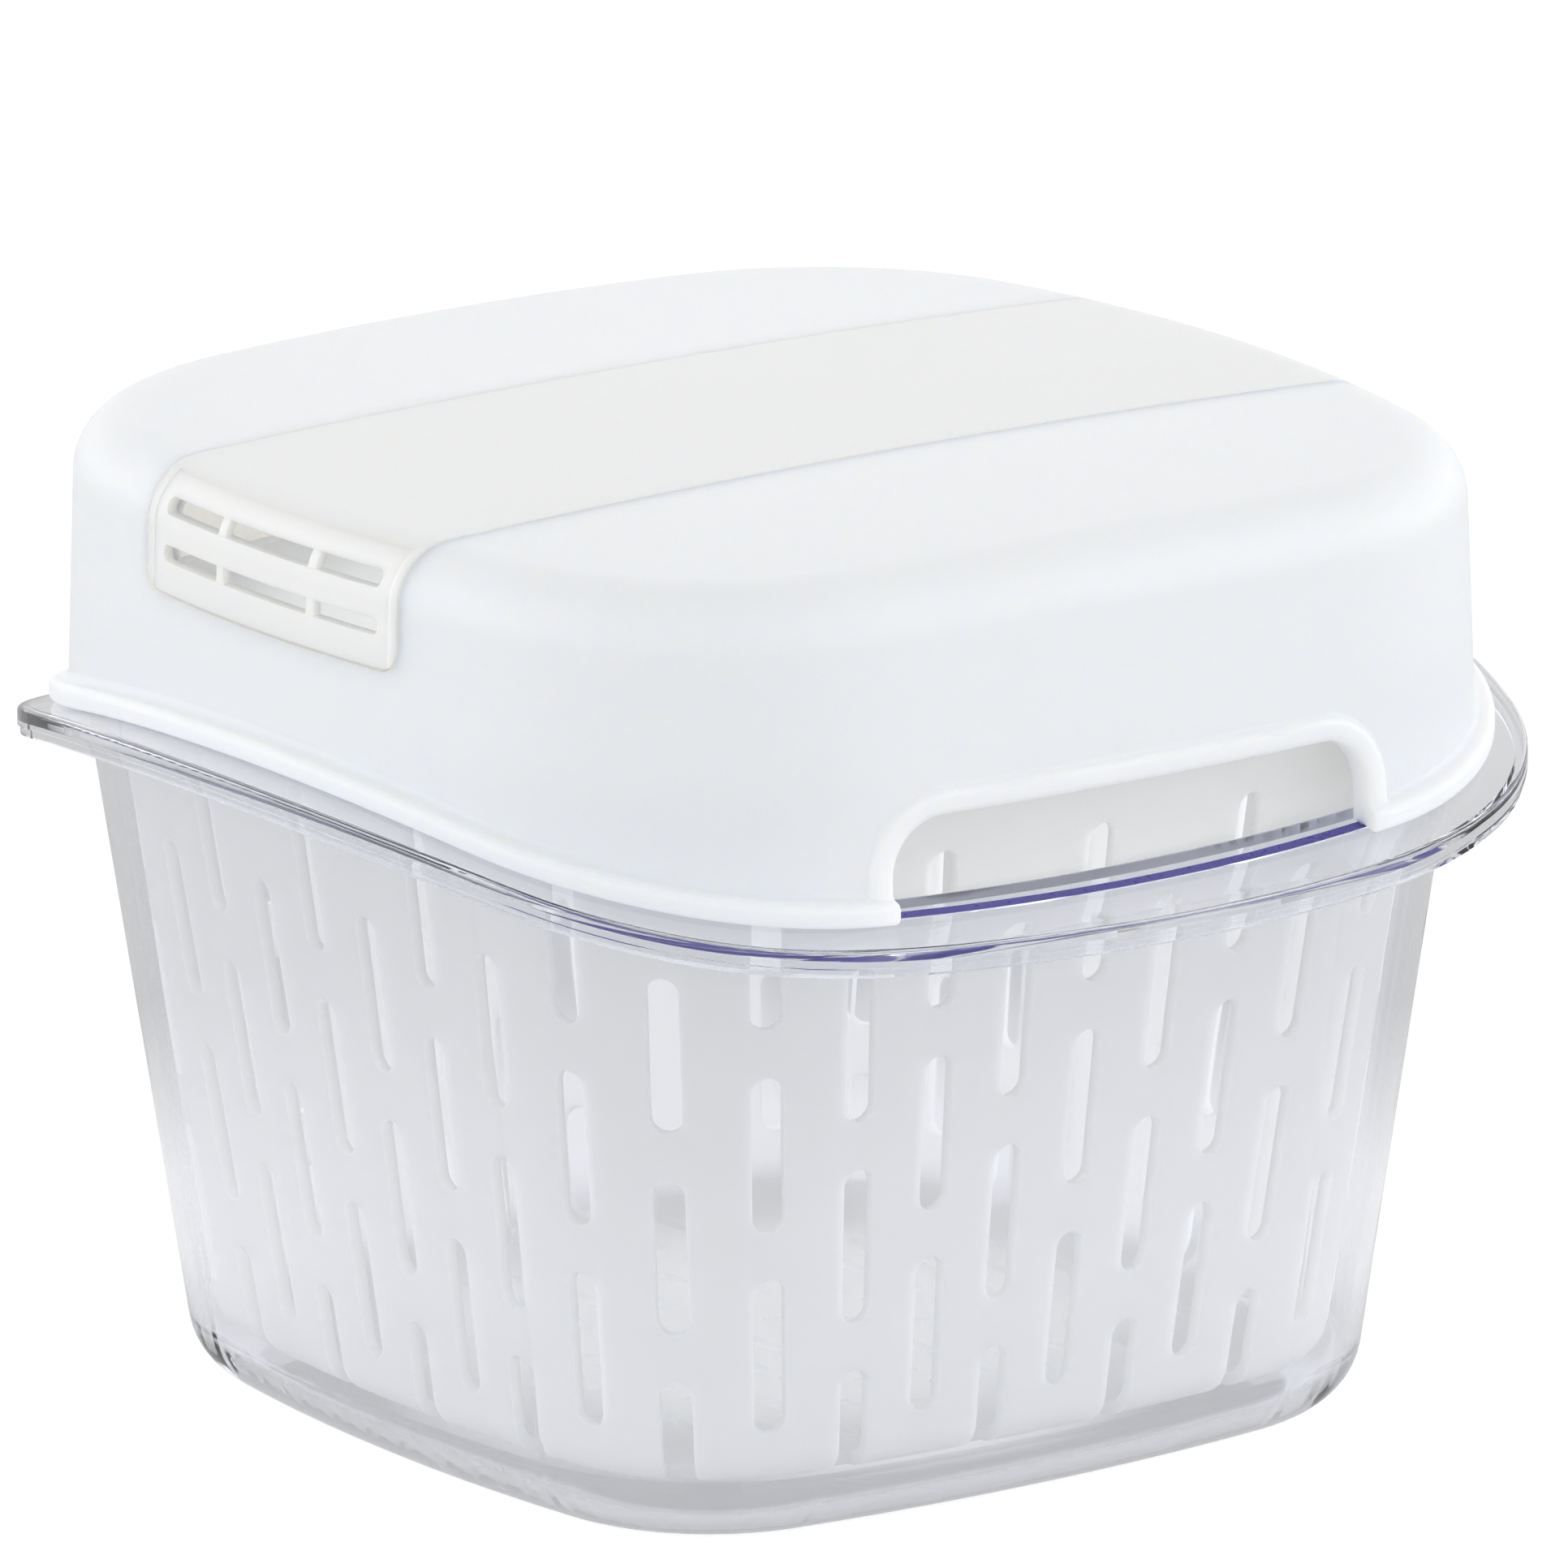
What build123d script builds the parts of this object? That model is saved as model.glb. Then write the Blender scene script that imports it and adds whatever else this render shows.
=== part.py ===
from build123d import *
import math
import os

os.makedirs("parts", exist_ok=True)

# ---------------------------------------------------------------------------
# Food storage container: clear tub, slotted colander basket, domed lid with
# finger openings and a wrap-over vent strip.  Millimetres, +Z up, origin on
# the standing surface under the middle of the tub.  The vent grille faces -Y,
# the finger openings face +X and -X.
# ---------------------------------------------------------------------------

# rim line: an arch along X, flat under the finger ledges
RIM_Z = 129.75          # height of the flange top on the middle of the -Y/+Y sides
RIM_R = 385.0           # radius of the arch
RIM_X1 = 107.0          # the arch turns back from here ...
RIM_R2 = 40.0           # ... with this radius, to a flat ledge

# tub
TUB_A0 = 86.0           # half size of the wall line at the floor
TUB_R0 = 38.3           # corner radius there
TUB_SAG = 2.95          # bulge of each side
TAPER = 0.1497          # growth of the half size per mm of height
TUB_T = 2.5             # wall
TUB_FLOOR = 3.0
TUB_FILLET = 13.4

# tub flange
FL_A, FL_B = 125.0, 118.5
FL_R, FL_SX, FL_SY = 60.0, 12.0, 9.0
FL_T = 2.6              # plate
FL_SKIRT_T = 2.4        # outer skirt
FL_SKIRT_H = 4.9
FL_ROUND = 0.8          # soft outer top edge
MOUTH_ROUND = 1.2       # soft inner edge of the mouth
RING_A = 108.5          # seal ring inlaid in the flange, under the lid's wall
RING_R, RING_SX, RING_SY = 59.3, 3.4, 4.6
RING_W, RING_H = 2.0, 0.6

# lid
LID_A = 108.1           # half size at LID_Z0
LID_R = 59.3
LID_SX, LID_SY = 2.0, 4.6
LID_Z0 = 112.5
LID_H = 176.5           # top of the dome
LID_TAPER = 2.23 / 64.0
LID_CROWN = 2.6         # fall of the dome at the lid's side
LID_EDGE_R = 11.0       # soft top edge
LID_T = 2.4
LIP_OUT, LIP_H = 3.0, 4.2
LIP_ROUND, LIP_BLEND, LIP_END = 1.4, 1.5, 0.7
LIFT_GAP = 0.3          # lid above the flange

# finger openings
CUT_HALF = 50.0
CUT_TOP = 132.2
CUT_R = 10.0
FRAME_W = 4.2
FRAME_OUT = 1.5
FRAME_IN = 1.2
FRAME_ROUND, FRAME_BLEND = 1.2, 1.0
FRAME_FOOT = 3.3        # the frame grows out of the lip at this height above the lid's lower edge

# vent strip
STRIP_HALF = 37.4
STRIP_Z0 = 152.3
STRIP_T = 2.2
STRIP_GAP = 0.35
STRIP_R = 4.0
SLOT_H = 3.0
SLOT_ROWS = (159.4, 167.6)
SLOT_HALF = 32.4
RIB_X, RIB_W, RIB_IN = 13.6, 2.2, 0.7
PANEL_HALF, PANEL_TOP, PANEL_IN = 35.6, 172.8, 0.35

# basket
BK_A0 = 80.0
BK_R0 = 33.0
BK_T = 2.5
BK_Z0 = 10.0
BK_FLOOR = 2.2
BK_FILLET = 7.0
BK_TOP = 138.0
BK_SLOT_W = 5.6
BK_SLOT_L = 28.5
BK_PITCH = 37.2
BK_COLS = 40
BK_ZREF = 100.0         # columns lie in upright planes through the axis, spaced at this height
BK_EVEN = (15.3, 52.5, 89.7)
BK_ODD = (34.0, 71.2, 108.4)


# ---------------------------------------------------------------------------
# outlines: a square with bulged sides and round corners, made of eight arcs
# ---------------------------------------------------------------------------
def outline(A, B, r, sx, sy, z):
    a, b = A - sx - r, B - sy - r
    rcx = (b * b + sx * sx) / (2 * sx)
    rcy = (a * a + sy * sy) / (2 * sy)
    px = math.asin(b / rcx)
    py = math.asin(a / rcy)
    e1 = (a + r * math.cos(px), b + r * math.sin(px))
    e2 = (a + r * math.sin(py), b + r * math.cos(py))
    m = (px + math.pi / 2 - py) / 2
    em = (a + r * math.cos(m), b + r * math.sin(m))

    def P(x, y):
        return Vector(x, y, z)

    arcs = [
        ((e1[0], -e1[1]), (A, 0), (e1[0], e1[1])),
        ((e1[0], e1[1]), em, (e2[0], e2[1])),
        ((e2[0], e2[1]), (0, B), (-e2[0], e2[1])),
        ((-e2[0], e2[1]), (-em[0], em[1]), (-e1[0], e1[1])),
        ((-e1[0], e1[1]), (-A, 0), (-e1[0], -e1[1])),
        ((-e1[0], -e1[1]), (-em[0], -em[1]), (-e2[0], -e2[1])),
        ((-e2[0], -e2[1]), (0, -B), (e2[0], -e2[1])),
        ((e2[0], -e2[1]), (em[0], -em[1]), (e1[0], -e1[1])),
    ]
    return Wire([Edge.make_three_point_arc(P(*p), P(*q), P(*s)) for p, q, s in arcs])


def prism(A, B, r, sx, sy, z0, z1):
    return Solid.extrude(Face(outline(A, B, r, sx, sy, z0)), Vector(0, 0, z1 - z0))


def tapered(A0, r0, s, k, z0, z1, off=0.0):
    w0 = outline(A0 + k * z0 - off, A0 + k * z0 - off, r0 + k * z0 - off, s, s, z0)
    w1 = outline(A0 + k * z1 - off, A0 + k * z1 - off, r0 + k * z1 - off, s, s, z1)
    return Solid.make_loft([w0, w1], True)


def drop_fillet(solid, z, r):
    edges = [e for e in solid.edges() if abs(e.center().Z - z) < 0.01 and abs(e.bounding_box().size.Z) < 0.01]
    return solid.fillet(r, edges)


# rim line helpers ------------------------------------------------------------
_ang = math.asin(RIM_X1 / RIM_R)
RIM_DROP1 = RIM_R - math.sqrt(RIM_R ** 2 - RIM_X1 ** 2)
RIM_X2 = RIM_X1 + RIM_R2 * math.sin(_ang)
RIM_DROP2 = RIM_DROP1 + RIM_R2 * (1 - math.cos(_ang))
RIM_SIDE = RIM_Z - RIM_DROP2


def rim_curve(dz):
    """The rim line in the XZ plane, moved up by dz, from x = -140 to 140."""
    z = RIM_Z + dz
    h = _ang / 2
    cx, cz = RIM_X2, z - RIM_DROP2 + RIM_R2
    m = (cx - RIM_R2 * math.sin(h), cz - RIM_R2 * math.cos(h))
    p1 = (RIM_X1, z - RIM_DROP1)
    p2 = (RIM_X2, z - RIM_DROP2)
    E = lambda q: Vector(q[0], 0, q[1])
    n = lambda q: (-q[0], q[1])
    return [
        Edge.make_line(E((-140, p2[1])), E(n(p2))),
        Edge.make_three_point_arc(E(n(p2)), E(n(m)), E(n(p1))),
        Edge.make_three_point_arc(E(n(p1)), E((0, z)), E(p1)),
        Edge.make_three_point_arc(E(p1), E(m), E(p2)),
        Edge.make_line(E(p2), E((140, p2[1]))),
    ]


def slab(face_edges):
    f = Face(Wire(face_edges))
    s = Solid.extrude(f, Vector(0, 300, 0))
    return s.moved(Location((0, -150, 0)))


def band(lo, hi):
    """Everything between the rim line moved by lo and the rim line moved by hi."""
    zl, zh = RIM_SIDE + lo, RIM_SIDE + hi
    return slab(rim_curve(lo) + [Edge.make_line(Vector(140, 0, zl), Vector(140, 0, zh))]
                + rim_curve(hi) + [Edge.make_line(Vector(-140, 0, zh), Vector(-140, 0, zl))])


def below(dz):
    zs = RIM_SIDE + dz
    return slab(rim_curve(dz) + [Edge.make_line(Vector(140, 0, zs), Vector(140, 0, -20)),
                                 Edge.make_line(Vector(140, 0, -20), Vector(-140, 0, -20)),
                                 Edge.make_line(Vector(-140, 0, -20), Vector(-140, 0, zs))])


def above(dz):
    zs = RIM_SIDE + dz
    return slab(rim_curve(dz) + [Edge.make_line(Vector(140, 0, zs), Vector(140, 0, 260)),
                                 Edge.make_line(Vector(140, 0, 260), Vector(-140, 0, 260)),
                                 Edge.make_line(Vector(-140, 0, 260), Vector(-140, 0, zs))])


def first_solid(shape):
    ss = sorted(shape.solids(), key=lambda s: -s.volume)
    return ss[0]


def rim_z(x):
    """Height of the rim line at x."""
    x = abs(x)
    if x <= RIM_X1:
        return RIM_Z - RIM_R + math.sqrt(RIM_R ** 2 - x * x)
    if x <= RIM_X2:
        return RIM_Z - RIM_DROP2 + RIM_R2 - math.sqrt(RIM_R2 ** 2 - (RIM_X2 - x) ** 2)
    return RIM_SIDE


def upright(e):
    v = e.vertices()
    return len(v) == 2 and abs(v[0].X - v[1].X) < 0.01 and abs(v[0].Y - v[1].Y) < 0.01


def outer_rims(solid):
    """Edges between a band's upright outer wall and its top or bottom."""
    walls = [f for f in solid.faces() if abs(f.normal_at(f.center()).Z) < 0.02]
    return [e for e in solid.edges()
            if not upright(e) and sum(1 for f in walls if any(e.is_same(g) for g in f.edges())) == 1]


def gap_to(point, solid):
    return Vertex(*point).distance_to(solid)


def soften(solid, radius, edges, what):
    """Fillet the edges, or leave them sharp if the kernel can't."""
    for r in (radius, radius * 0.7, radius * 0.45):
        try:
            q = solid.fillet(r, edges)
            if q.is_valid:
                q = first_solid(q)
                print("softened", what, round(r, 2), len(edges), "edges")
                return q
        except Exception:
            pass
    print("left sharp:", what)
    return solid


# ---------------------------------------------------------------------------
# tub
# ---------------------------------------------------------------------------
tub_out = drop_fillet(tapered(TUB_A0, TUB_R0, TUB_SAG, TAPER, 0.0, 150.0), 0.0, TUB_FILLET)
cav_z = TUB_FLOOR
tub_in = drop_fillet(tapered(TUB_A0, TUB_R0, TUB_SAG, TAPER, cav_z, 150.0, TUB_T), cav_z, TUB_FILLET - TUB_T)

tub_wall = first_solid(tub_out & below(0.0))
flange_plate = first_solid(prism(FL_A, FL_B, FL_R, FL_SX, FL_SY, 90, 150) & band(-FL_T, 0.0))
flange_plate = soften(flange_plate, FL_ROUND, [e for e in outer_rims(flange_plate) if abs((e @ 0.5).Z - rim_z((e @ 0.5).X)) < 0.1], "flange edge")
so = FL_SKIRT_T
skirt = (prism(FL_A, FL_B, FL_R, FL_SX, FL_SY, 90, 150)
         - prism(FL_A - so, FL_B - so, FL_R - so, FL_SX, FL_SY, 90, 150)) & band(-FL_SKIRT_H, -FL_T / 2)
# a shallow step around the skirt, a little above its lower edge
step = (prism(FL_A + 5, FL_B + 5, FL_R + 5, FL_SX, FL_SY, 90, 150)
        - prism(FL_A - 0.5, FL_B - 0.5, FL_R - 0.5, FL_SX, FL_SY, 90, 150)) & band(-FL_SKIRT_H - 1, -FL_SKIRT_H + 1.7)


def hoop(grow, lo, hi):
    o = prism(RING_A + grow, RING_A + grow, RING_R + grow, RING_SX, RING_SY, 90, 150)
    d = RING_W + grow
    i = prism(RING_A - d, RING_A - d, RING_R - d, RING_SX, RING_SY, 89, 151)
    return (o - i) & band(lo, hi)


tub = first_solid(tub_wall + flange_plate + skirt - step - tub_in)
mouth = [e for e in tub.edges() if abs((e @ 0.5).Z - rim_z((e @ 0.5).X)) < 0.05 and gap_to(e @ 0.5, tub_in) < 0.02]
tub = soften(tub, MOUTH_ROUND, mouth, "mouth")
tub = first_solid(tub - hoop(0.05, -RING_H - 0.05, 3.0))

# seal ring in its groove, flush with the flange
seal_ring = first_solid(hoop(0.0, -RING_H, 0.0))


# ---------------------------------------------------------------------------
# lid
# ---------------------------------------------------------------------------
def dome(off):
    """The lid's outer body moved inwards by off, closed at the bottom at z = 90."""
    zb, zt = 90.0, 200.0

    def w(z):
        d = -LID_TAPER * (z - LID_Z0) - off
        return outline(LID_A + d, LID_A + d, LID_R + d, LID_SX, LID_SY, z)

    body = Solid.make_loft([w(zb), w(zt)], True)
    R = (LID_A ** 2 + LID_CROWN ** 2) / (2 * LID_CROWN)
    ball = Solid.make_sphere(R - off, Plane((0, 0, LID_H - R)), -90, 90, 360)
    body = first_solid(body & ball)
    top_edges = [e for e in body.edges() if e.bounding_box().min.Z > LID_H - 12 - off]
    return body.fillet(LID_EDGE_R - off, top_edges)


def strip_prism(grow):
    """Front outline of the vent strip, run right through along Y."""
    h, z0, r = STRIP_HALF + grow, STRIP_Z0 - grow, STRIP_R + grow
    with BuildSketch(Plane.XZ) as sk:
        with Locations((0, z0 + 50)):
            RectangleRounded(2 * h, 100, r)
    return extrude(sk.sketch, 150, both=True).solid()


lid_o = dome(0.0)
lid_i = dome(LID_T)
recess_floor = dome(STRIP_T + 0.3)
channel_in = dome(STRIP_T + 0.3 + 1.9)

def cut_prism(grow, zlow=60.0):
    """Finger opening outline in the YZ plane, run through the +X and -X sides."""
    h, zt, r = CUT_HALF + grow, CUT_TOP + grow, CUT_R + grow
    with BuildSketch(Plane.YZ) as sk:
        with Locations((0, (zt + zlow) / 2)):
            RectangleRounded(2 * h, zt - zlow, r)
    return extrude(sk.sketch, 160, both=True).solid()


xbox = Box(60, 200, 200).moved(Location((120, 0, 100))) + Box(60, 200, 200).moved(Location((-120, 0, 100)))
hole = cut_prism(0.0) & xbox


def on_hole_edge(m, grow):
    """True if the point lies on the opening's outline, moved outwards by grow."""
    h, zc, r = CUT_HALF + grow, CUT_TOP - CUT_R, CUT_R + grow
    if m.Z < zc + 0.05:
        return abs(abs(m.Y) - h) < 0.03
    if abs(m.Y) < CUT_HALF - CUT_R:
        return abs(m.Z - CUT_TOP - grow) < 0.03
    return abs(math.hypot(abs(m.Y) - (CUT_HALF - CUT_R), m.Z - zc) - r) < 0.04


# lip: a rounded bead round the lower edge, blended into the wall
lip = first_solid(prism(LID_A + LIP_OUT, LID_A + LIP_OUT, LID_R + LIP_OUT, LID_SX, LID_SY, 90, 160)
                  & band(LIFT_GAP, LIFT_GAP + LIP_H))
lip = soften(lip, LIP_ROUND, outer_rims(lip), "lip")
body = first_solid(((lid_o & above(LIFT_GAP)) + lip) - lid_i)
joint = [e for e in body.edges() if not upright(e)
         and abs((e @ 0.5).Z - rim_z((e @ 0.5).X) - LIFT_GAP - LIP_H) < 0.02 and gap_to(e @ 0.5, lid_o) < 0.02]
body = soften(body, LIP_BLEND, joint, "lip blend")
body = first_solid(body - hole)
ends = [e for e in body.edges() if abs((e @ 0.5).X) > 95 and 115.0 < (e @ 0.5).Z < 133
        and on_hole_edge(e @ 0.5, 0.0) and gap_to(e @ 0.5, lid_o) > 0.15]
body = soften(body, LIP_END, ends, "lip ends")

# frame: an arched band round each opening with rounded edges
for sign in (-1, 1):
    half = Box(60, 200, 200).moved(Location((sign * 120, 0, 100)))
    fr = first_solid(dome(-FRAME_OUT) & (cut_prism(FRAME_W) - cut_prism(0.0)) & half)
    rims = [e for e in fr.edges() if gap_to(e @ 0.5, lid_o) > FRAME_OUT - 0.05 and (e @ 0.5).Z > 91
            and (on_hole_edge(e @ 0.5, 0.0) or on_hole_edge(e @ 0.5, FRAME_W))]
    fr = soften(fr, FRAME_ROUND, rims, "frame")
    body = body + ((fr - dome(LID_T * 0.5)) & above(LIFT_GAP + FRAME_FOOT))
body = first_solid(body)
foot = [e for e in body.edges() if abs((e @ 0.5).X) > 90 and (e @ 0.5).Z > rim_z((e @ 0.5).X) + 5
        and on_hole_edge(e @ 0.5, FRAME_W) and gap_to(e @ 0.5, lid_o) < 0.02]
body = soften(body, FRAME_BLEND, foot, "frame blend")
frame_in = (dome(LID_T * 0.5) - dome(FRAME_IN + LID_T)) & cut_prism(2.2) & xbox & above(LIFT_GAP)

recess_cut = (dome(-1.0) - recess_floor) & strip_prism(STRIP_GAP)
# the recess has its own floor and side walls, grown out of the inner half of the lid's wall
channel = (dome(LID_T * 0.5) - channel_in) & strip_prism(STRIP_GAP + 2.2)
lid = body + channel - recess_cut + (frame_in - hole)
# vent window behind the grille, a little larger than each slot row
for zr in SLOT_ROWS:
    win = Box(2 * 33.4, 30, SLOT_H + 1.6).moved(Location((0, -105, zr)))
    lid = lid - win
lid = first_solid(lid)

# ---------------------------------------------------------------------------
# vent strip
# ---------------------------------------------------------------------------
strip = (lid_o - dome(STRIP_T)) & strip_prism(0.0)
# the front panel is set back a little below a crease near its top
panel = (dome(-1.0) - dome(PANEL_IN)) & Box(2 * PANEL_HALF, 60, 40).moved(Location((0, -110, PANEL_TOP - 20)))
strip = strip - panel
for zr in SLOT_ROWS:
    with BuildSketch(Plane.XZ) as sk:
        with Locations((0, zr)):
            RectangleRounded(2 * SLOT_HALF, SLOT_H, SLOT_H / 2 - 0.05)
    strip = strip - extrude(sk.sketch, 20, both=True).moved(Location((0, -105, 0)))
# two ribs across the slots, a little behind the face
ribs = (dome(RIB_IN) - dome(STRIP_T)) & (
    Box(RIB_W, 60, 14).moved(Location((-RIB_X, -110, 163.5))) + Box(RIB_W, 60, 14).moved(Location((RIB_X, -110, 163.5))))
strip = first_solid(strip + ribs)


# ---------------------------------------------------------------------------
# basket
# ---------------------------------------------------------------------------
bk_out = drop_fillet(tapered(BK_A0, BK_R0, TUB_SAG, TAPER, BK_Z0, BK_TOP), BK_Z0, BK_FILLET)
bk_in = drop_fillet(tapered(BK_A0, BK_R0, TUB_SAG, TAPER, BK_Z0 + BK_FLOOR, BK_TOP + 10, BK_T),
                    BK_Z0 + BK_FLOOR, BK_FILLET - BK_T)
kb = BK_A0 + TAPER * BK_TOP
rb = BK_R0 + TAPER * BK_TOP
roll = prism(kb + 1.0, kb + 1.0, rb + 1.0, TUB_SAG, TUB_SAG, BK_TOP - 3.0, BK_TOP)
basket = bk_out + roll - bk_in


_z = 60.0
_A, _r = BK_A0 + TAPER * _z, BK_R0 + TAPER * _z
_a = _A - TUB_SAG - _r
_rc = (_a * _a + TUB_SAG ** 2) / (2 * TUB_SAG)
_ph = math.asin(_a / _rc)
_Ls = (_rc + _r) * _ph            # half a side
_Lc = _r * (math.pi / 2 - 2 * _ph)  # a corner
_Q = 2 * _Ls + _Lc                # a quarter of the way round


def column(s):
    """Normal angle (rad) at arc length s, counted from the middle of +X towards +Y."""
    q, t = divmod(s, _Q)
    if t <= _Ls:
        ang = t / (_rc + _r)
    elif t <= _Ls + _Lc:
        ang = _ph + (t - _Ls) / _r
    else:
        ang = math.pi / 2 - (_Q - t) / (_rc + _r)
    return q * math.pi / 2 + ang


def at_angle(ang, z, off=0.0):
    """Point of the basket's outer wall whose normal is at ang, at height z."""
    A, r = BK_A0 + TAPER * z, BK_R0 + TAPER * z
    a = A - TUB_SAG - r
    rc = (a * a + TUB_SAG ** 2) / (2 * TUB_SAG)
    q, t = divmod(ang, math.pi / 2)
    ph = math.asin(a / rc)
    if t <= ph:
        x, y = (A - rc - r) + (rc + r) * math.cos(t), (rc + r) * math.sin(t)
    elif t <= math.pi / 2 - ph:
        x, y = a + r * math.cos(t), a + r * math.sin(t)
    else:
        u = math.pi / 2 - t
        x, y = (rc + r) * math.sin(u), (A - rc - r) + (rc + r) * math.cos(u)
    c, s_ = math.cos(q * math.pi / 2), math.sin(q * math.pi / 2)
    return (x * c - y * s_, x * s_ + y * c)


def on_plane(theta, z):
    """Normal angle and point of the wall where it meets the upright plane through the Z axis at angle theta."""
    lo, hi = theta - 0.4, theta + 0.4
    for _ in range(50):
        mid = (lo + hi) / 2
        px, py = at_angle(mid, z)
        d = math.atan2(py, px) - theta
        d = (d + math.pi) % (2 * math.pi) - math.pi
        if d > 0:
            hi = mid
        else:
            lo = mid
    return mid, at_angle(mid, z)


cutters = []
pitch_s = 4 * _Q / BK_COLS
for i in range(BK_COLS):
    xr, yr = at_angle(column(i * pitch_s), BK_ZREF)
    theta = math.atan2(yr, xr)
    # the middle of each side (i = 0, 10, 20, 30) carries an odd column
    rows = BK_ODD if i % 2 == 0 else BK_EVEN
    for zc in rows:
        ang, (x, y) = on_plane(theta, zc)
        _, (xa, ya) = on_plane(theta, zc - 10)
        _, (xb, yb) = on_plane(theta, zc + 10)
        lean = math.degrees(math.atan(((yb - ya) * math.cos(ang) - (xb - xa) * math.sin(ang)) / 20))
        pl = Plane(origin=(x, y, zc), x_dir=(-math.sin(ang), math.cos(ang), 0),
                   z_dir=(math.cos(ang), math.sin(ang), 0))
        with BuildSketch(pl) as sk:
            SlotOverall(BK_SLOT_L, BK_SLOT_W, rotation=90 - lean)
        cutters.append(extrude(sk.sketch, 7.0, both=True).solid())

# floor grid: short slots in staggered rows
FL_HALF = 62.0
ny = 0
y = -60.0
while y <= 60.01:
    x = -60.0 + (8.0 if ny % 2 else 0.0)
    while x <= 60.01:
        if abs(x) + abs(y) < 98 and abs(x) < FL_HALF:
            with BuildSketch(Plane.XY.offset(BK_Z0 - 1)) as sk:
                with Locations((x, y)):
                    SlotOverall(11.0, 3.0)
            cutters.append(extrude(sk.sketch, BK_FLOOR + 2).solid())
        x += 16.0
    y += 10.0
    ny += 1

basket = basket.cut(*cutters)
# four feet keep the basket's floor above the water
for sx_ in (-1, 1):
    for sy_ in (-1, 1):
        with BuildSketch(Plane.XY.offset(TUB_FLOOR + 0.3)) as sk:
            with Locations((sx_ * 44, sy_ * 44)):
                Circle(5.0)
                Circle(3.2, mode=Mode.SUBTRACT)
        basket = basket + extrude(sk.sketch, BK_Z0 - TUB_FLOOR - 0.3 + 1.0).solid()
basket = first_solid(basket)

# ---------------------------------------------------------------------------
for name, shape in (("tub", tub), ("seal_ring", seal_ring), ("basket", basket), ("lid", lid), ("vent_strip", strip)):
    shape.label = name
    export_step(shape, f"parts/{name}.step")
    bb = shape.bounding_box()
    print(name, "volume", round(shape.volume), "valid", shape.is_valid,
          "min", [round(v, 2) for v in (bb.min.X, bb.min.Y, bb.min.Z)],
          "max", [round(v, 2) for v in (bb.max.X, bb.max.Y, bb.max.Z)])
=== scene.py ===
import math

import bpy
from mathutils import Matrix, Vector

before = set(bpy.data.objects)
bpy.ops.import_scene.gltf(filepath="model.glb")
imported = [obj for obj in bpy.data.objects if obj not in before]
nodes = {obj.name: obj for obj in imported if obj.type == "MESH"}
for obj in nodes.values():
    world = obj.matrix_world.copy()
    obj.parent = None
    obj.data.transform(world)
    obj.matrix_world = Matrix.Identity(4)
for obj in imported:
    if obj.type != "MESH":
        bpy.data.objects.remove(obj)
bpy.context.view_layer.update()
scene = bpy.context.scene


# ---------------------------------------------------------------------------
# camera: the photograph's viewpoint, fitted to the object's outlines
# ---------------------------------------------------------------------------
AZ, EL, ROLL = math.radians(54.59), math.radians(14.93), math.radians(-0.33)
DIST, FOCAL, TX, TY = 3.92001, 27799.47, -0.00237, -0.00814
back = Vector((math.sin(AZ) * math.cos(EL), -math.cos(AZ) * math.cos(EL), math.sin(EL)))
right0 = Vector((math.cos(AZ), math.sin(AZ), 0.0))
up0 = back.cross(right0)
right = right0 * math.cos(ROLL) + up0 * math.sin(ROLL)
up = up0 * math.cos(ROLL) - right0 * math.sin(ROLL)
target = Vector((0.0, 0.0, 0.1))
cam_pos = target + back * DIST - right * TX - up * TY
cam_data = bpy.data.cameras.new("camera")
cam_data.sensor_fit = "HORIZONTAL"
cam_data.sensor_width = 36.0
cam_data.lens = FOCAL / 1932 * 36.0
cam_data.clip_end = 50.0
cam = bpy.data.objects.new("camera", cam_data)
m = Matrix((right, up, back)).transposed().to_4x4()
m.translation = cam_pos
cam.matrix_world = m
scene.collection.objects.link(cam)
scene.camera = cam


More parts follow.
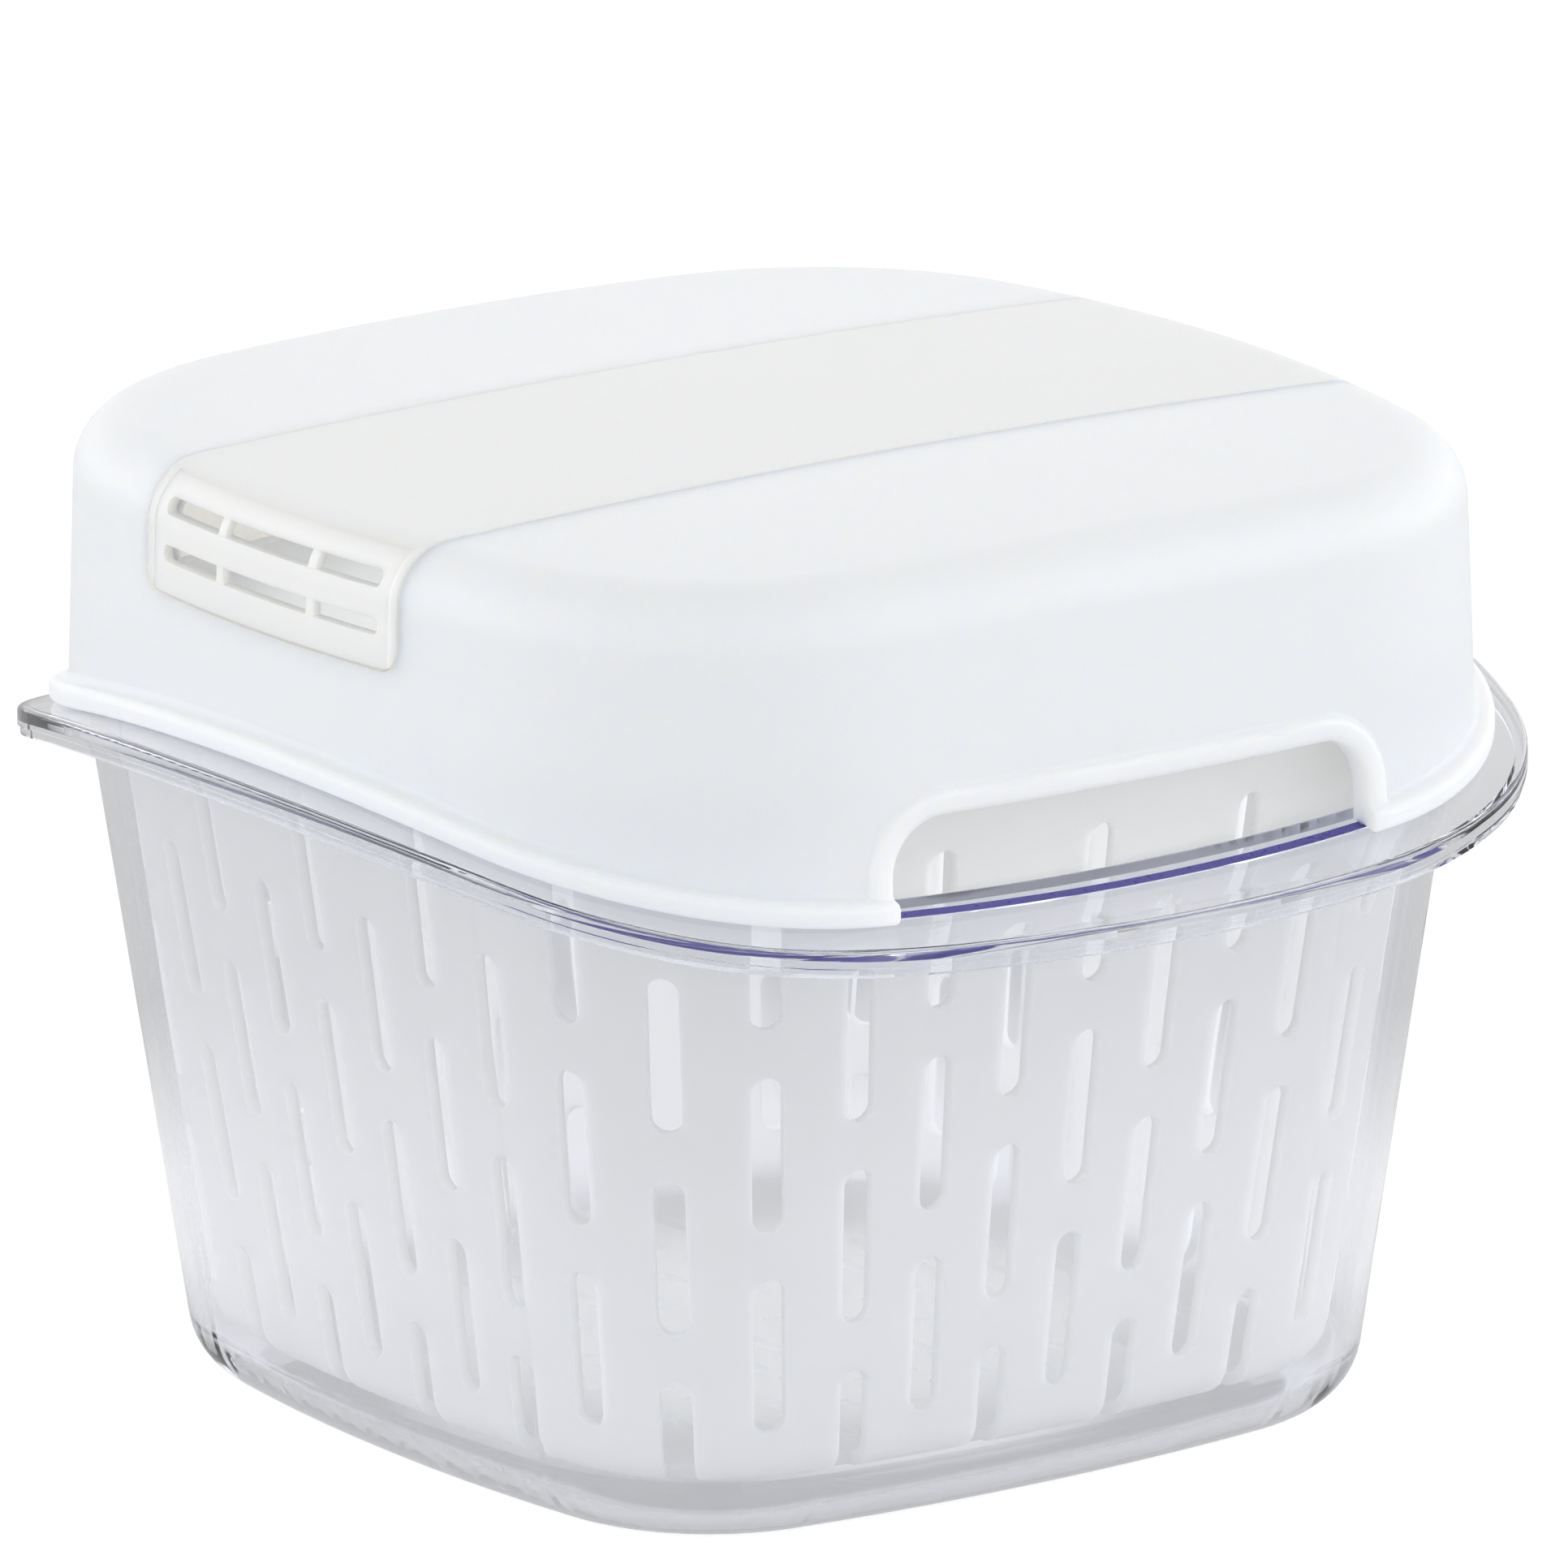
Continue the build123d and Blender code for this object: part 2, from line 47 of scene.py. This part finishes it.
# ---------------------------------------------------------------------------
# node helpers
# ---------------------------------------------------------------------------
class Mat:
    def __init__(self, name):
        self.mat = bpy.data.materials.new(name)
        self.mat.use_nodes = True
        self.nt = self.mat.node_tree
        self.nt.nodes.clear()
        self.out = self.nt.nodes.new("ShaderNodeOutputMaterial")
        self.bsdf = self.nt.nodes.new("ShaderNodeBsdfPrincipled")
        self.nt.links.new(self.bsdf.outputs[0], self.out.inputs["Surface"])
        self.coord = self.nt.nodes.new("ShaderNodeTexCoord").outputs["Object"]

    def n(self, kind, **props):
        node = self.nt.nodes.new(kind)
        for k, v in props.items():
            setattr(node, k, v)
        return node

    def link(self, a, b):
        self.nt.links.new(a, b)

    def set(self, **values):
        for k, v in values.items():
            self.bsdf.inputs[k.replace("_", " ")].default_value = v

    def noise(self, scale, detail=3.0, rough=0.5, vec=None):
        t = self.n("ShaderNodeTexNoise")
        t.inputs["Scale"].default_value = scale
        t.inputs["Detail"].default_value = detail
        t.inputs["Roughness"].default_value = rough
        self.link(vec or self.coord, t.inputs["Vector"])
        return t.outputs["Fac"]

    def ramp(self, fac, lo, hi, a, b):
        r = self.n("ShaderNodeMapRange")
        r.inputs["From Min"].default_value = lo
        r.inputs["From Max"].default_value = hi
        r.inputs["To Min"].default_value = a
        r.inputs["To Max"].default_value = b
        self.link(fac, r.inputs["Value"])
        return r.outputs["Result"]

    def mix(self, fac, c1, c2):
        mx = self.n("ShaderNodeMix", data_type="RGBA")
        mx.inputs["A"].default_value = (*c1, 1)
        mx.inputs["B"].default_value = (*c2, 1)
        # the colour sockets of this node are the last A and B
        ab = [s for s in mx.inputs if s.name in ("A", "B") and s.type == "RGBA"]
        ab[0].default_value = (*c1, 1)
        ab[1].default_value = (*c2, 1)
        self.link(fac, mx.inputs["Factor"])
        return [s for s in mx.outputs if s.type == "RGBA"][0]

    def bump(self, height, strength, distance):
        b = self.n("ShaderNodeBump")
        b.inputs["Strength"].default_value = strength
        b.inputs["Distance"].default_value = distance
        self.link(height, b.inputs["Height"])
        self.link(b.outputs["Normal"], self.bsdf.inputs["Normal"])
        return b


def moulded(name, c1, c2, rough, grain=0.00006, sss=0.0, radius=(0.003, 0.003, 0.003), spec=0.5):
    """Satin moulded plastic: faint cloudiness in the colour, fine grain in gloss and surface."""
    mt = Mat(name)
    cloud = mt.noise(22.0, 2.0)
    mt.link(mt.mix(mt.ramp(cloud, 0.35, 0.65, 0.0, 1.0), c1, c2), mt.bsdf.inputs["Base Color"])
    fine = mt.noise(900.0, 2.0)
    mt.link(mt.ramp(fine, 0.3, 0.7, rough - 0.04, rough + 0.05), mt.bsdf.inputs["Roughness"])
    grain_h = mt.noise(1500.0, 3.0)
    mt.bump(grain_h, 0.35, grain)
    mt.bsdf.inputs["IOR"].default_value = 1.49
    mt.bsdf.inputs["Specular IOR Level"].default_value = spec
    if sss:
        mt.bsdf.inputs["Subsurface Weight"].default_value = sss
        mt.bsdf.inputs["Subsurface Radius"].default_value = radius
        mt.bsdf.inputs["Subsurface Scale"].default_value = 1.0
    return mt.mat


def clear(name):
    mt = Mat(name)
    cloud = mt.noise(14.0, 2.0)
    mt.link(mt.mix(mt.ramp(cloud, 0.3, 0.7, 0.0, 1.0), (0.962, 0.969, 0.994), (0.952, 0.960, 0.985)), mt.bsdf.inputs["Base Color"])
    fine = mt.noise(160.0, 3.0)
    mt.link(mt.ramp(fine, 0.3, 0.7, 0.012, 0.03), mt.bsdf.inputs["Roughness"])
    wave = mt.noise(45.0, 1.0)
    mt.bump(wave, 0.10, 0.0006)
    mt.bsdf.inputs["IOR"].default_value = 1.53
    mt.bsdf.inputs["Transmission Weight"].default_value = 1.0
    vol = mt.n("ShaderNodeVolumeAbsorption")
    vol.inputs["Color"].default_value = (0.48, 0.52, 0.70, 1)
    vol.inputs["Density"].default_value = 6.0
    mt.link(vol.outputs[0], mt.out.inputs["Volume"])
    return mt.mat


white = moulded("white_plastic", (0.938, 0.935, 0.918), (0.928, 0.925, 0.908), 0.42, sss=1.0, radius=(0.0115, 0.0092, 0.0062))
strip_mat = moulded("strip_plastic", (0.915, 0.908, 0.882), (0.903, 0.896, 0.870), 0.44, sss=1.0, radius=(0.0032, 0.0028, 0.0022))
frosted = moulded("frosted_plastic", (0.972, 0.975, 0.973), (0.966, 0.969, 0.967), 0.5, sss=1.0, radius=(0.03, 0.03, 0.028))
violet = moulded("violet_trim", (0.062, 0.050, 0.32), (0.056, 0.045, 0.30), 0.3)
crystal = clear("clear_plastic")


def dress(name, mat):
    o = nodes[name]
    o.data.materials.clear()
    o.data.materials.append(mat)
    for p in o.data.polygons:
        p.material_index = 0


dress("tub", crystal)
dress("lid", white)
dress("vent_strip", strip_mat)
dress("basket", frosted)
dress("seal_ring", violet)


# ---------------------------------------------------------------------------
# stage and light
# ---------------------------------------------------------------------------
def floor_mesh():
    me = bpy.data.meshes.new("floor")
    s = 9.0
    me.from_pydata([(-s, -s, 0), (s, -s, 0), (s, s, 0), (-s, s, 0)], [], [(0, 1, 2, 3)])
    o = bpy.data.objects.new("floor", me)
    scene.collection.objects.link(o)
    mt = Mat("floor_paper")
    mt.link(mt.mix(mt.noise(3.0, 2.0), (0.50, 0.50, 0.50), (0.49, 0.49, 0.49)), mt.bsdf.inputs["Base Color"])
    mt.bsdf.inputs["Roughness"].default_value = 0.9
    mt.bsdf.inputs["Specular IOR Level"].default_value = 0.1
    mt.bsdf.inputs["Emission Color"].default_value = (1, 1, 1, 1)
    # the sheet shows white, while the light that it gives back to the object is a pale grey, with a painted
    # shadow ring darker round the foot of the tub
    path = mt.n("ShaderNodeLightPath")
    away = mt.n("ShaderNodeVectorMath", operation="LENGTH")
    mt.link(mt.coord, away.inputs[0])
    painted_foot_shadow = mt.n("ShaderNodeValToRGB")
    mt.link(mt.ramp(away.outputs["Value"], 0.0, 0.4, 0.0, 1.0), painted_foot_shadow.inputs["Fac"])
    # painted shadow: the emission falls to 0.25 in a ring round the foot of the tub, standing in for a
    # contact shadow
    foot_shadow_stops = [(0.05, 0.46), (0.07, 0.25), (0.115, 0.25), (0.145, 0.44), (0.18, 0.44), (0.27, 0.17)]
    bar = painted_foot_shadow.color_ramp.elements
    while len(bar) < len(foot_shadow_stops):
        bar.new(0.5)
    for el, (r_, v) in zip(bar, foot_shadow_stops):
        el.position = r_ / 0.4
        el.color = (v, v, v, 1)
    light_with_painted_shadow = painted_foot_shadow.outputs["Color"]
    seen = mt.n("ShaderNodeMix", data_type="FLOAT")
    mt.link(path.outputs["Is Camera Ray"], seen.inputs["Factor"])
    mt.link(light_with_painted_shadow, seen.inputs[2])
    seen.inputs[3].default_value = 0.62
    mt.link(seen.outputs[0], mt.bsdf.inputs["Emission Strength"])
    me.materials.append(mt.mat)
    return o


floor_mesh()

# a soft room: a wide bright wall at each side, dimmer overhead and behind the camera
world = bpy.data.worlds.new("studio")
world.use_nodes = True
scene.world = world
wt = world.node_tree
wt.nodes.clear()
w_out = wt.nodes.new("ShaderNodeOutputWorld")
w_bg = wt.nodes.new("ShaderNodeBackground")
w_tc = wt.nodes.new("ShaderNodeTexCoord")
w_nrm = wt.nodes.new("ShaderNodeVectorMath")
w_nrm.operation = "NORMALIZE"
wt.links.new(w_tc.outputs["Generated"], w_nrm.inputs[0])


def toward(vec, power):
    """How far the light's direction leans to vec, from 0 to 1, raised to power."""
    d = wt.nodes.new("ShaderNodeVectorMath")
    d.operation = "DOT_PRODUCT"
    wt.links.new(w_nrm.outputs["Vector"], d.inputs[0])
    d.inputs[1].default_value = vec
    c = wt.nodes.new("ShaderNodeMath")
    c.operation = "MAXIMUM"
    c.inputs[1].default_value = 0.0
    wt.links.new(d.outputs["Value"], c.inputs[0])
    p = wt.nodes.new("ShaderNodeMath")
    p.operation = "POWER"
    p.inputs[1].default_value = power
    wt.links.new(c.outputs[0], p.inputs[0])
    return p.outputs[0]


def madd(a, k, b):
    m_ = wt.nodes.new("ShaderNodeMath")
    m_.operation = "MULTIPLY_ADD"
    wt.links.new(a, m_.inputs[0])
    m_.inputs[1].default_value = k
    if isinstance(b, float):
        m_.inputs[2].default_value = b
    else:
        wt.links.new(b, m_.inputs[2])
    return m_.outputs[0]


level = madd(toward((0, 0, 1), 2.0), -1.18, 1.37)
level = madd(toward((math.sin(AZ), -math.cos(AZ), 0.0), 4.0), -0.25, level)
level = madd(toward((-math.cos(AZ), -math.sin(AZ), 0.0), 3.0), 0.76, level)
level = madd(toward((math.cos(AZ), math.sin(AZ), 0.0), 3.0), 1.02, level)
wt.links.new(level, w_bg.inputs["Strength"])
w_bg.inputs["Color"].default_value = (1.0, 1.0, 1.0, 1)
wt.links.new(w_bg.outputs[0], w_out.inputs["Surface"])


scene.view_settings.view_transform = "Standard"
scene.view_settings.look = "None"
scene.cycles.max_bounces = 48
scene.cycles.transmission_bounces = 24
scene.cycles.glossy_bounces = 36    # light runs down inside the clear wall
scene.cycles.diffuse_bounces = 30
scene.cycles.caustics_refractive = True
scene.cycles.blur_glossy = 0.0
